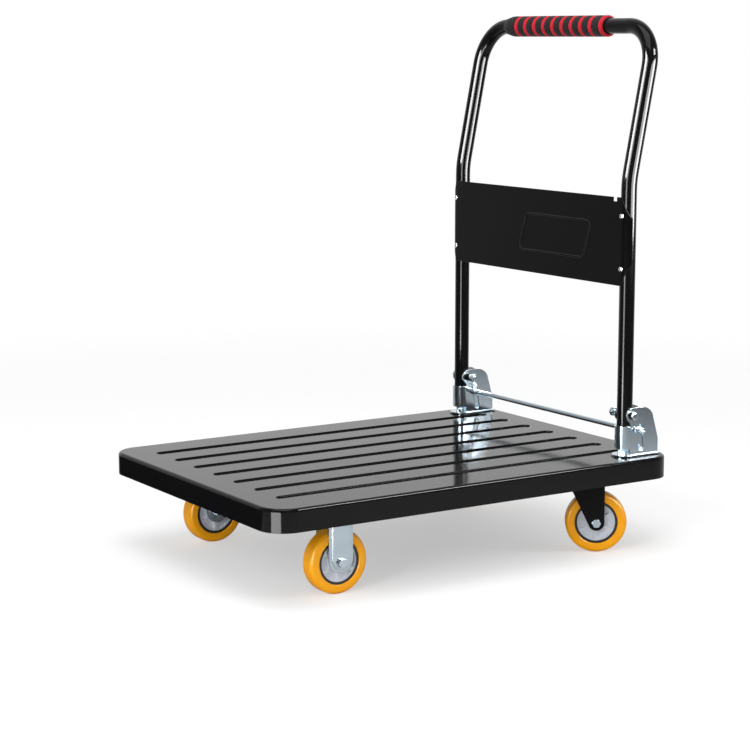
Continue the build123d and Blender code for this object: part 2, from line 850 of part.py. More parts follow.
def biarc(start, leave, end, arrive):
    """Two arcs between two points that keep the given directions and share one at their meeting."""
    chord = end - start
    both = leave + arrive
    spread = 2 * (1 - leave.dot(arrive))
    along = chord.dot(both)
    reach = (sqrt(along**2 + spread * chord.dot(chord)) - along) / spread
    first = start + leave * reach
    last = end - arrive * reach
    meet = (first + last) * 0.5
    arcs = [TangentArc(start, meet, tangent=leave)]
    arcs.append(TangentArc(meet, end, tangent=(last - first).normalized()))
    return arcs


def spring_path(sign):
    """Hook round the pin, close coils, and hook round the rod, as tangent arcs."""
    y = sign * (pin_inner_end + spring_stand)
    top = Vector(pivot_x, y, pivot_z)
    low = Vector(rod_x, y, rod_z)
    axis = (low - top).normalized()
    across = Vector(0, 1, 0)
    side = axis.cross(across)
    length = (low - top).length
    body = coil_pitch * coil_turns
    begin = (length - body) / 2
    hooks = [pin_radius + wire_radius + hook_clearance, rod_radius + wire_radius + hook_clearance]

    def hook(angle, centre, radius, way):
        """Point and direction on a hook; the angle is counted from the spring's axis."""
        out = axis * way
        point = centre + (out * cos(angle) + side * (way * sin(angle))) * radius
        return point, (side * (way * cos(angle)) - out * sin(angle))

    def coil(angle):
        """Point and direction on the coils."""
        point = top + axis * (begin + coil_pitch * angle / (2 * pi))
        point = point + (side * cos(angle) + across * sin(angle)) * coil_radius
        turn = (across * cos(angle) - side * sin(angle)) * coil_radius
        return point, (turn + axis * (coil_pitch / (2 * pi))).normalized()

    opening = radians(hook_open_angle)
    step = 2 * (pi - opening) / hook_arcs
    turns = [opening + i * step for i in range(hook_arcs + 1)]
    part_turn = 2 * pi / arcs_per_turn
    stops = [hook(angle, top, hooks[0], 1) for angle in turns]
    stops += [coil(i * part_turn - part_turn) for i in range(arcs_per_turn * coil_turns - 1)]
    stops += [hook(angle, low, hooks[1], -1) for angle in turns]
    edges = []
    for (start, leave), (end, arrive) in zip(stops, stops[1:]):
        edges += biarc(start, leave, end, arrive)
    return edges


def least_gap(edges):
    """Smallest gap between stretches of wire that aren't neighbours along it."""
    shares = [i / samples_per_arc for i in range(samples_per_arc)]
    points = [edge.position_at(share) for edge in edges for share in shares]
    runs = [0.0]
    for a, b in zip(points, points[1:]):
        runs.append(runs[-1] + (b - a).length)
    apart = pi * coil_radius
    gaps = [
        (points[i] - points[j]).length
        for i in range(len(points))
        for j in range(i)
        if runs[i] - runs[j] > apart
    ]
    return min(gaps) - 2 * wire_radius


def make_spring(sign):
    """One unbroken wire swept along the hooks and coils."""
    edges = spring_path(sign)
    path = Wire([edge.edge() for edge in edges])
    section = Plane(origin=path.position_at(0), z_dir=path.tangent_at(0)) * Circle(wire_radius)
    spring = sweep(section, path=path)
    wire = pi * wire_radius**2 * path.length
    print(f"spring: gap {least_gap(edges):.2f}, volume over wire {spring.volume / wire:.4f}")
    return spring


# Write every node

save("deck", make_deck())
for name, sign in side_sign.items():
    save(f"rail_{name}", make_rail(sign))
for name, x in (("front", front_caster_x), ("middle", 0.0), ("rear", rear_caster_x)):
    save(f"{name}_cross_member", make_cross_member(x))

bracket_spots = [
    (x, sign * leg_half_span) for sign in side_sign.values() for x in (leg_x, bolt_rear_x)
]
for name, sign in side_sign.items():
    save(f"bracket_{name}", make_bracket(sign))
save("bracket_bolts", [make_bracket_bolt(x, y) for x, y in bracket_spots])
save("bracket_nuts", [make_bracket_nut(x, y) for x, y in bracket_spots])

front_places = {n: Pos(front_caster_x, s * caster_y, 0) for n, s in side_sign.items()}
swivel_spots = {n: Pos(rear_caster_x, s * caster_y, 0) for n, s in side_sign.items()}
swivel_places = {n: spot * Rot(0, 0, swivel_rest_angle) for n, spot in swivel_spots.items()}
rigid_reach = fork_outer + pad_height
for name, place in front_places.items():
    save(f"front_fork_{name}", place * make_rigid_fork())
save("front_axles", [place * make_axle(0.0, rigid_reach) for place in front_places.values()])
save("front_axle_nuts", [place * make_axle_nut(0.0, rigid_reach) for place in front_places.values()])
for name, place in swivel_places.items():
    save(f"swivel_fork_{name}", place * make_swivel_fork())
    save(f"bearing_balls_{name}", [place * ball for ball in make_balls()])
    save(f"rear_axle_{name}", place * make_axle(swivel_trail, fork_outer))
    save(f"rear_axle_nut_{name}", place * make_axle_nut(swivel_trail, fork_outer))
for name, spot in swivel_spots.items():
    save(f"swivel_plate_{name}", spot * make_swivel_plate())
save("kingpins", [spot * make_kingpin() for spot in swivel_spots.values()])

bolts = []
nuts = []
for spot in list(front_places.values()) + list(swivel_spots.values()):
    for i in (-1, 1):
        for j in (-1, 1):
            corner = spot * Pos(i * caster_bolt_span_x / 2, j * caster_bolt_span_y / 2, 0)
            bolts.append(corner * make_caster_bolt())
            nuts.append(corner * make_caster_nut())
save("caster_bolts", bolts)
save("caster_nuts", nuts)

upright = Rot(90, 0, 0)
wheel_places = {
    f"front_{n}": place * Pos(0, 0, wheel_radius) * upright for n, place in front_places.items()
}
for name, place in swivel_places.items():
    wheel_places[f"rear_{name}"] = place * Pos(swivel_trail, 0, wheel_radius) * upright
for name, place in wheel_places.items():
    save(f"tyre_{name}", place * make_tyre())
    save(f"band_{name}", place * make_band())
    save(f"hub_{name}", place * make_hub())
    save(f"bearing_{name}", place * make_bearing())

sides = list(side_sign.values())
save("handle_tube", make_tube())
save("handle_grip", make_grip())
save("grip_rings", make_rings())
save("handle_panel", make_panel())
save("panel_rivets", [make_rivet(s, z) for s in sides for z in (rivet_low, rivet_high)])
save("pivot_bushes", [make_bush(s) for s in sides])
save("pivot_pins", [make_pin(s) for s in sides])
save("pivot_nuts", [make_pivot_nut(s) for s in sides])
save("lock_rod", make_rod())
save("lock_rod_washers", [make_rod_washer(s) for s in sides])
save("lock_rod_nuts", [make_rod_nut(s) for s in sides])
save("lock_rod_collars", [make_rod_collar(s) for s in sides])
for name, sign in side_sign.items():
    save(f"spring_{name}", make_spring(sign))
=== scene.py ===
"""Dresses the folding platform cart: finishes, foam grip, springs, threads, light and camera."""

from __future__ import annotations

import json
import logging
import math
from dataclasses import dataclass
from enum import Enum
from typing import Any, Sequence

import bmesh
import bpy
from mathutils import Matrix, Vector


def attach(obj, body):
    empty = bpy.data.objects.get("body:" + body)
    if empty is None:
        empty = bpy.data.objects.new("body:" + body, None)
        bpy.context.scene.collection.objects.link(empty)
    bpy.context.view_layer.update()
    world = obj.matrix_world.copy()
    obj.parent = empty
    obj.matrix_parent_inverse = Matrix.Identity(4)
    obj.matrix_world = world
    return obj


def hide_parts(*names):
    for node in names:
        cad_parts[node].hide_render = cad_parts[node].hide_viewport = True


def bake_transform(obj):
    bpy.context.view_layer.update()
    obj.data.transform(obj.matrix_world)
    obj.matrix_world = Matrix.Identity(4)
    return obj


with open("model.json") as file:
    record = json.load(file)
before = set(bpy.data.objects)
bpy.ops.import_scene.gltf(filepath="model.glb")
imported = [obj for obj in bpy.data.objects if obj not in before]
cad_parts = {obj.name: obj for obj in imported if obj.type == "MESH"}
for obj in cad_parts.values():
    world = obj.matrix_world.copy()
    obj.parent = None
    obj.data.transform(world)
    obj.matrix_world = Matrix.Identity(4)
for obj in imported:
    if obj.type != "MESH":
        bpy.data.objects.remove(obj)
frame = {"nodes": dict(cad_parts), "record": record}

LOG = logging.getLogger("cart")
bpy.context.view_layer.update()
MM = 0.001
FULL_TURN = 2 * math.pi
SHARP_ANGLE = math.radians(35)
MERGE = 1e-6

Triple = tuple[float, float, float]
Span = tuple[float, float]

WHITE: Triple = (1.0, 1.0, 1.0)
BLACK: Triple = (0.0, 0.0, 0.0)
EVEN: Triple = (1.0, 1.0, 1.0)

# Rolled steel has its grain drawn out along Z.
ROLLED: Triple = (1.0, 1.0, 0.12)

# Rays that round an edge in the shading, and how far the normal turns where edges get a painted
# highlight.
BEVEL_SAMPLES = 6
RIM_SPAN: Span = (0.01, 0.2)

# The Mix node's share, its two colours and its mixed colour, by the number of their socket.
MIX_SHARE = 0
MIX_FIRST = 6
MIX_SECOND = 7
MIX_COLOUR = 2

# Middle of the lock rod at rest, in millimetres.
ROD_X = 320.95
ROD_Z = 199.0


class Side(Enum):
    """Left and right side of the cart, with the sign of Y."""

    LEFT = -1
    RIGHT = 1

    @property
    def word(self) -> str:
        """The side's name as the nodes have it."""
        return self.name.lower()


class Slot(Enum):
    """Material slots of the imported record."""

    GLOSS_BLACK = "gloss_black_paint"
    SATIN_BLACK = "satin_black_paint"
    ZINC = "zinc_steel"
    BRIGHT = "bright_steel"
    SPRING = "spring_steel"
    TREAD = "tread_urethane"
    BAND = "band_plastic"
    HUB = "hub_plastic"
    FOAM = "grip_foam"
    RING = "ring_foam"


class Beam(Enum):
    """What a lamp does: light every surface, or only as a matt fill, or only as a highlight."""

    FULL = "full"
    FILL = "fill"
    GLINT = "glint"


class Reach(Enum):
    """Which pieces a lamp lights: all, all but the flat ones and the foam, or the tube alone."""

    ALL = "all"
    NO_FLATS = "no_flats"
    TUBE = "tube"


class Ray(Enum):
    """Kinds of ray that the floor and the world tell apart."""

    CAMERA = "Is Camera Ray"
    GLOSSY = "Is Glossy Ray"
    THROUGH = "Is Transmission Ray"


@dataclass(frozen=True)
class Grain:
    """Fineness of a noise: lumps per metre, octaves, and the scale of each axis."""

    scale: float
    octaves: float = 2.0
    stretch: Triple = EVEN


def opaque(colour: Triple) -> tuple[float, float, float, float]:
    """A colour with full alpha, as the nodes take it."""
    return (*colour, 1.0)


def lighter(colour: Triple, factor: float) -> Triple:
    """A colour times a factor."""
    return (colour[0] * factor, colour[1] * factor, colour[2] * factor)


class Sock:
    """Output socket of a node that takes part in Python arithmetic."""

    def __init__(self, graph: Graph, socket: bpy.types.NodeSocket | None) -> None:
        """Keep the socket and the graph that new nodes go into."""
        self.graph = graph
        self.socket = socket

    def _math(self, operation: str, left: Any, right: Any) -> Sock:
        """Add one Math node of two values or sockets."""
        return self.graph.node("ShaderNodeMath", {"operation": operation}, {0: left, 1: right})

    def __add__(self, other: Any) -> Sock:
        """Sum."""
        return self._math("ADD", self, other)

    __radd__ = __add__

    def __sub__(self, other: Any) -> Sock:
        """Difference."""
        return self._math("SUBTRACT", self, other)

    def __rsub__(self, other: Any) -> Sock:
        """Difference from a number."""
        return self._math("SUBTRACT", other, self)

    def __mul__(self, other: Any) -> Sock:
        """Product."""
        return self._math("MULTIPLY", self, other)

    __rmul__ = __mul__

    def at_most(self, other: Any) -> Sock:
        """The smaller of two values."""
        return self._math("MINIMUM", self, other)


class Graph:
    """Node tree that is filled by expressions."""

    def __init__(self, tree: bpy.types.NodeTree) -> None:
        """Empty the tree and keep it."""
        tree.nodes.clear()
        self.tree = tree

    def node(
        self,
        kind: str,
        settings: dict[str, Any] | None = None,
        values: dict[Any, Any] | None = None,
        out: Any = 0,
    ) -> Sock:
        """Add a node, set it up and fill its inputs.

        Args:
            kind: The node's type.
            settings: Properties of the node, set first.
            values: Numbers or sockets for the inputs, by name or index.
            out: Name or index of the output to return.

        Returns:
            The chosen output, or an empty one for a node without outputs.
        """
        made = self.tree.nodes.new(kind)
        for key, value in (settings or {}).items():
            setattr(made, key, value)
        for key, value in (values or {}).items():
            if isinstance(value, Sock):
                self.tree.links.new(value.socket, made.inputs[key])
            else:
                made.inputs[key].default_value = value
        return Sock(self, made.outputs[out] if len(made.outputs) else None)

    def place(self, stretch: Triple = EVEN) -> Sock:
        """The piece's own coordinates, drawn out along its axes."""
        here = self.node("ShaderNodeTexCoord", out="Object")
        return self.node("ShaderNodeMapping", None, {"Vector": here, "Scale": stretch})

    def noise(self, grain: Grain) -> Sock:
        """Noise from 0 to 1 on the piece's own coordinates."""
        values = {"Vector": self.place(grain.stretch), "Scale": grain.scale, "Detail": grain.octaves}
        return self.node("ShaderNodeTexNoise", None, values)

    def cells(self, scale: float) -> Sock:
        """Distance to the middle of the nearest cell, for foam."""
        values = {"Vector": self.place(), "Scale": scale}
        return self.node("ShaderNodeTexVoronoi", None, values)

    def between(self, value: Sock, low: Any, high: Any) -> Sock:
        """Stretch a value so that low becomes 0 and high 1, and clamp it."""
        values = {"Value": value, "From Min": low, "From Max": high}
        return self.node("ShaderNodeMapRange", {"clamp": True}, values)

    def dot(self, first: Any, second: Any) -> Sock:
        """How far two directions agree: 1 where they are the same."""
        values = {0: first, 1: second}
        return self.node("ShaderNodeVectorMath", {"operation": "DOT_PRODUCT"}, values, "Value")

    def ray(self, kind: Ray) -> Sock:
        """1 for a ray of this kind, 0 for any other."""
        return self.node("ShaderNodeLightPath", out=kind.value)

    def mix(self, share: Any, first: Any, second: Any) -> Sock:
        """Mix two colours.

        Args:
            share: Share of the second colour.
            first: Colour or socket.
            second: Colour or socket.

        Returns:
            The mixed colour.
        """
        values = {MIX_SHARE: share}
        for key, end in ((MIX_FIRST, first), (MIX_SECOND, second)):
            values[key] = end if isinstance(end, Sock) else opaque(end)
        return self.node("ShaderNodeMix", {"data_type": "RGBA"}, values, MIX_COLOUR)

    def rounded(self, radius: float) -> Sock:
        """Normal of the piece with its edges rounded by a radius in metres."""
        return self.node("ShaderNodeBevel", {"samples": BEVEL_SAMPLES}, {"Radius": radius})

    def bump(self, height: Sock, depth: float, edge: float = 0.0) -> Sock:
        """Bump from a height, over edges that are rounded in the shading.

        Args:
            height: Value that stands for the height.
            depth: Height of a full step, in metres.
            edge: Radius that the piece's edges are rounded by, or none.

        Returns:
            The normal.
        """
        values: dict[str, Any] = {"Height": height, "Distance": depth}
        if edge:
            values["Normal"] = self.rounded(edge)
        return self.node("ShaderNodeBump", None, values)

    def rim(self, reach: float) -> Sock:
        """How close a point is to an edge.

        Args:
            reach: Distance from the edge that counts, in metres.

        Returns:
            1 on the edge and 0 beyond the reach.
        """
        rounded = self.rounded(reach)
        flat = self.node("ShaderNodeNewGeometry", out="Normal")
        return self.between(1.0 - self.dot(rounded, flat), *RIM_SPAN)

    def surface(self, **values: Any) -> None:
        """Close the tree with one Principled shader.

        Args:
            **values: Its inputs, named with underscores.
        """
        named = {key.replace("_", " "): value for key, value in values.items()}
        shader = self.node("ShaderNodeBsdfPrincipled", None, named)
        self.node("ShaderNodeOutputMaterial", None, {"Surface": shader})


def new_material(name: str) -> tuple[bpy.types.Material, Graph]:
    """Make an empty material.

    Args:
        name: Name of the material.

    Returns:
        The material and the graph of its nodes.
    """
    material = bpy.data.materials.new(name)
    material.use_nodes = True
    return material, Graph(material.node_tree)


def new_object(
    bm: bmesh.types.BMesh, name: str, material: bpy.types.Material
) -> bpy.types.Object:
    """Make an object of a bmesh and put it into the scene.

    Args:
        bm: The shape, which is freed.
        name: Name of the object and its mesh.
        material: The finish of all of it.

    Returns:
        The new object, at the origin.
    """
    mesh = bpy.data.meshes.new(name)
    bm.to_mesh(mesh)
    bm.free()
    mesh.materials.append(material)
    made = bpy.data.objects.new(name, mesh)
    bpy.context.scene.collection.objects.link(made)
    return made


def joint_row(name: str) -> dict[str, Any]:
    """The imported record's row of a joint."""
    return next(row for row in frame["record"]["behaviour"]["joints"] if row["name"] == name)


@dataclass(frozen=True)
class Enamel:
    """Baked black paint with a fine orange peel, a little dust and, if asked, edges painted paler as
    a highlight.
    """

    name: str
    colour: Triple
    roughness: float
    peel: Grain
    peel_depth: float
    edge: float
    specular: float
    cloud: Grain = Grain(7.0, 3.0)
    cloud_lift: float = 1.7
    cloud_rough: float = 0.06
    # Painted highlight on the edges: its share, its reach in edge radii and its colour.
    rub: float = 0.0
    rub_edges: float = 2.0
    rubbed: Triple = (0.085, 0.085, 0.09)
    specks: Grain = Grain(760.0, 1.0)
    speck_span: Span = (0.66, 0.8)
    dust: Triple = (0.09, 0.09, 0.094)
    dust_share: float = 0.08
    dust_rough: float = 0.08

    def material(self) -> bpy.types.Material:
        """Make the finish.

        Returns:
            The material.
        """
        made, graph = new_material(self.name)
        cloud = graph.noise(self.cloud)
        dust = graph.between(graph.noise(self.specks), *self.speck_span)
        colour = graph.mix(cloud, self.colour, lighter(self.colour, self.cloud_lift))
        # Paler edges here are a painted highlight, standing in for light caught on rounded ridges.
        if self.rub:
            edge_highlight_share = graph.rim(self.edge * self.rub_edges) * self.rub
            colour = graph.mix(edge_highlight_share, colour, self.rubbed)
        smoothest = self.roughness - self.cloud_rough / 2
        graph.surface(
            Base_Color=graph.mix(dust * self.dust_share, colour, self.dust),
            Roughness=cloud * self.cloud_rough + dust * self.dust_rough + smoothest,
            Specular_IOR_Level=self.specular,
            Normal=graph.bump(graph.noise(self.peel), self.peel_depth, self.edge),
        )
        return made


@dataclass(frozen=True)
class Plate:
    """Bright metal over rolled steel, with a faint grain, clouds of a second tint and spots."""

    name: str
    colour: Triple
    cast: Triple
    roughness: float
    grain: Grain
    grain_depth: float
    edge: float
    grain_rough: float = 0.14
    cloud: Grain = Grain(34.0, 4.0)
    cloud_span: Span = (0.3, 0.7)
    spots: Grain = Grain(420.0)
    spot_span: Span = (0.62, 0.78)
    spot_share: float = 0.3
    spot_shade: float = 0.72
    spot_rough: float = 0.06

    def material(self) -> bpy.types.Material:
        """Make the finish.

        Returns:
            The material.
        """
        made, graph = new_material(self.name)
        cloud = graph.between(graph.noise(self.cloud), *self.cloud_span)
        grain = graph.noise(self.grain)
        spots = graph.between(graph.noise(self.spots), *self.spot_span)
        colour = graph.mix(cloud, self.colour, self.cast)
        spot = lighter(self.colour, self.spot_shade)
        smoothest = self.roughness - self.grain_rough / 2
        graph.surface(
            Base_Color=graph.mix(spots * self.spot_share, colour, spot),
            Metallic=1.0,
            Roughness=grain * self.grain_rough + spots * self.spot_rough + smoothest,
            Normal=graph.bump(grain, self.grain_depth, self.edge),
        )
        return made


@dataclass(frozen=True)
class Urethane:
    """Cast tread: glossy, a little cloudy, with fine scuffs."""

    name: str
    colour: Triple
    deep: Triple
    roughness: float = 0.28
    specular: float = 0.22
    edge: float = 0.0004
    cloud: Grain = Grain(46.0, 3.0)
    cloud_span: Span = (0.32, 0.72)
    cloud_share: float = 0.55
    cloud_rough: float = 0.06
    scuffs: Grain = Grain(520.0, 3.0)
    scuff_span: Span = (0.6, 0.78)
    scuff_share: float = 0.12
    scuff_shade: float = 0.7
    scuff_rough: float = 0.14
    ripple: Grain = Grain(260.0)
    ripple_depth: float = 0.00006

    def material(self) -> bpy.types.Material:
        """Make the finish.

        Returns:
            The material.
        """
        made, graph = new_material(self.name)
        cloud = graph.between(graph.noise(self.cloud), *self.cloud_span)
        scuff = graph.between(graph.noise(self.scuffs), *self.scuff_span)
        colour = graph.mix(cloud * self.cloud_share, self.colour, self.deep)
        scuffed = lighter(self.deep, self.scuff_shade)
        graph.surface(
            Base_Color=graph.mix(scuff * self.scuff_share, colour, scuffed),
            Roughness=cloud * self.cloud_rough + scuff * self.scuff_rough + self.roughness,
            Specular_IOR_Level=self.specular,
            Normal=graph.bump(graph.noise(self.ripple), self.ripple_depth, self.edge),
        )
        return made


@dataclass(frozen=True)
class Moulded:
    """Moulded plastic with a fine spark-eroded grain."""

    name: str
    colour: Triple
    roughness: float
    grain: Grain
    grain_depth: float
    edge: float
    grain_rough: float = 0.12
    cloud: Grain = Grain(22.0, 3.0)
    darkest: float = 0.86
    lightest: float = 1.1

    def material(self) -> bpy.types.Material:
        """Make the finish.

        Returns:
            The material.
        """
        made, graph = new_material(self.name)
        cloud = graph.noise(self.cloud)
        grain = graph.noise(self.grain)
        ends = [lighter(self.colour, factor) for factor in (self.darkest, self.lightest)]
        graph.surface(
            Base_Color=graph.mix(cloud, *ends),
            Roughness=grain * self.grain_rough + (self.roughness - self.grain_rough / 2),
            Normal=graph.bump(grain, self.grain_depth, self.edge),
        )
        return made


@dataclass(frozen=True)
class Foam:
    """Closed-cell foam: matt, with small cells whose hollows are painted darker as shade, and a soft
    sheen.
    """

    name: str
    colour: Triple
    cells: float
    depth: float
    sheen: float
    sheen_roughness: float = 0.4
    specular: float = 0.25
    smoothest: float = 0.82
    cloud: Grain = Grain(90.0, 4.0)
    cloud_rough: float = 0.1
    cloud_height: float = 0.6
    darkest: float = 0.8
    lightest: float = 1.2
    # Painted shade in the cells' hollows: where it falls, its share and how dark.
    pore_span: Span = (0.25, 0.75)
    pore_share: float = 0.45
    pore_shade: float = 0.6

    def material(self) -> bpy.types.Material:
        """Make the finish.

        Returns:
            The material.
        """
        made, graph = new_material(self.name)
        cells = graph.cells(self.cells)
        cloud = graph.noise(self.cloud)
        # Darker colour at the bump's low points is painted shade.
        painted_pit_shade = graph.between(cells, *self.pore_span)
        ends = [lighter(self.colour, factor) for factor in (self.darkest, self.lightest)]
        colour = graph.mix(cloud, *ends)
        pit_shade_colour = lighter(self.colour, self.pore_shade)
        graph.surface(
            Base_Color=graph.mix(painted_pit_shade * self.pore_share, pit_shade_colour, colour),
            Roughness=cloud * self.cloud_rough + self.smoothest,
            Sheen_Weight=self.sheen,
            Sheen_Roughness=self.sheen_roughness,
            Specular_IOR_Level=self.specular,
            Normal=graph.bump(cells + cloud * self.cloud_height, self.depth),
        )
        return made


FINISHES = {
    Slot.GLOSS_BLACK: Enamel(
        name="gloss_black",
        colour=(0.0035, 0.0035, 0.0039),
        roughness=0.10,
        peel=Grain(190.0),
        peel_depth=0.000012,
        edge=0.0006,
        specular=0.18,
    ),
    Slot.SATIN_BLACK: Enamel(
        name="satin_black",
        colour=(0.0028, 0.0028, 0.0031),
        roughness=0.3,
        peel=Grain(620.0),
        peel_depth=0.00005,
        edge=0.0005,
        specular=0.1,
        # Painted highlight on the satin paint's edges.
        rub=0.8,
    ),
    Slot.ZINC: Plate(
        name="zinc_plate",
        colour=(0.47, 0.56, 0.63),
        cast=(0.58, 0.66, 0.71),
        roughness=0.15,
        grain=Grain(700.0, 3.0, ROLLED),
        grain_depth=0.00002,
        edge=0.0006,
    ),
    Slot.BRIGHT: Plate(
        name="bright_plate",
        colour=(0.88, 0.89, 0.9),
        cast=(0.93, 0.93, 0.92),
        roughness=0.16,
        grain=Grain(900.0, 3.0, ROLLED),
        grain_depth=0.00001,
        edge=0.0004,
    ),
    Slot.SPRING: Plate(
        name="spring_wire",
        colour=(0.62, 0.64, 0.66),
        cast=(0.72, 0.73, 0.73),
        roughness=0.24,
        grain=Grain(1400.0, 3.0, ROLLED),
        grain_depth=0.00001,
        edge=0.0,
    ),
    Slot.TREAD: Urethane(
        name="orange_tread",
        colour=(1.0, 0.43, 0.006),
        deep=(0.94, 0.33, 0.003),
    ),
    Slot.BAND: Moulded(
        name="black_band",
        colour=(0.011, 0.011, 0.012),
        roughness=0.34,
        grain=Grain(900.0),
        grain_depth=0.00003,
        edge=0.0003,
    ),
    Slot.HUB: Moulded(
        name="grey_hub",
        colour=(0.60, 0.63, 0.69),
        roughness=0.36,
        grain=Grain(1100.0),
        grain_depth=0.00003,
        edge=0.0006,
    ),
    Slot.FOAM: Foam(
        name="charcoal_foam",
        colour=(0.024, 0.024, 0.026),
        cells=1500.0,
        depth=0.0003,
        sheen=0.1,
    ),
    Slot.RING: Foam(
        name="red_foam",
        colour=(0.8, 0.02, 0.042),
        cells=1700.0,
        depth=0.0002,
        sheen=0.08,
    ),
}


class Paintbox:
    """Makes each finish once and hands it out."""

    def __init__(self) -> None:
        """Make every finish and look up every CAD node's slot."""
        self.made = {slot: finish.material() for slot, finish in FINISHES.items()}
        self.slots = {row["node"]: row["material_slot"] for row in frame["record"]["subparts"]}

    def dress(self, node: str) -> Slot:
        """Give a CAD node the finish of its slot in the record.

        Args:
            node: Name of the node.

        Returns:
            The slot.
        """
        slot = Slot(self.slots[node])
        materials = frame["nodes"][node].data.materials
        materials.clear()
        materials.append(self.made[slot])
        return slot


class Workshop:
    """Turns bmeshes into pieces of the cart."""

    def __init__(self, paint: Paintbox) -> None:
        """Keep the finishes."""
        self.paint = paint

    @staticmethod
    def seal(bm: bmesh.types.BMesh) -> bmesh.types.BMesh:
        """Merge a shape's doubled points and turn its faces outwards.

        Args:
            bm: The shape.

        Returns:
            The same shape.
        """
        bmesh.ops.remove_doubles(bm, verts=bm.verts, dist=MERGE)
        bmesh.ops.recalc_face_normals(bm, faces=bm.faces)
        return bm

    def revolve(self, profile: Sequence[Span], centre: Vector, steps: int) -> bmesh.types.BMesh:
        """Spin a closed profile about an axis along Y.

        Args:
            profile: Pairs of Y and radius, in millimetres.
            centre: Point on the axis, in metres, with a Y of 0.
            steps: Faces round the axis.

        Returns:
            The spun shape.
        """
        bm = bmesh.new()
        points = [bm.verts.new(centre + Vector((0, y, r)) * MM) for y, r in profile]
        edges = [bm.edges.new(pair) for pair in zip(points, points[1:] + points[:1])]
        turn = {"cent": centre, "axis": (0, 1, 0), "angle": FULL_TURN, "steps": steps}
        bmesh.ops.spin(bm, geom=points + edges, use_merge=True, **turn)
        return self.seal(bm)

    @staticmethod
    def joined(shapes: Sequence[bmesh.types.BMesh]) -> bmesh.types.BMesh:
        """Put several shapes into one.

        Args:
            shapes: The shapes, which are freed.

        Returns:
            One shape of them all.
        """
        whole = bmesh.new()
        for shape in shapes:
            mesh = bpy.data.meshes.new("shape")
            shape.to_mesh(mesh)
            shape.free()
            whole.from_mesh(mesh)
            bpy.data.meshes.remove(mesh)
        return whole

    def mesh_object(self, bm: bmesh.types.BMesh, name: str, slot: Slot) -> bpy.types.Object:
        """Make an object of a bmesh, smooth but for its sharp edges.

        Args:
            bm: The shape, which is freed.
            name: Name of the piece.
            slot: Material slot of the record.

        Returns:
            The new object, at the origin.
        """
        for face in bm.faces:
            face.smooth = True
        for edge in bm.edges:
            edge.smooth = len(edge.link_faces) == 2 and edge.calc_face_angle() < SHARP_ANGLE
        made = new_object(bm, name, self.paint.made[slot])
        return made

    def fit(
        self, bm: bmesh.types.BMesh, name: str, slot: Slot, body: str, *nodes: str
    ) -> bpy.types.Object:
        """Make a piece that rides on a body.

        Args:
            bm: The shape, which is freed.
            name: Name of the piece.
            slot: Material slot of the record.
            body: Body that carries it.
            *nodes: CAD nodes that it stands for.

        Returns:
            The piece.
        """
        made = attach(self.mesh_object(bm, name, slot), body)
        if nodes:
            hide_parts(*nodes)
        return made


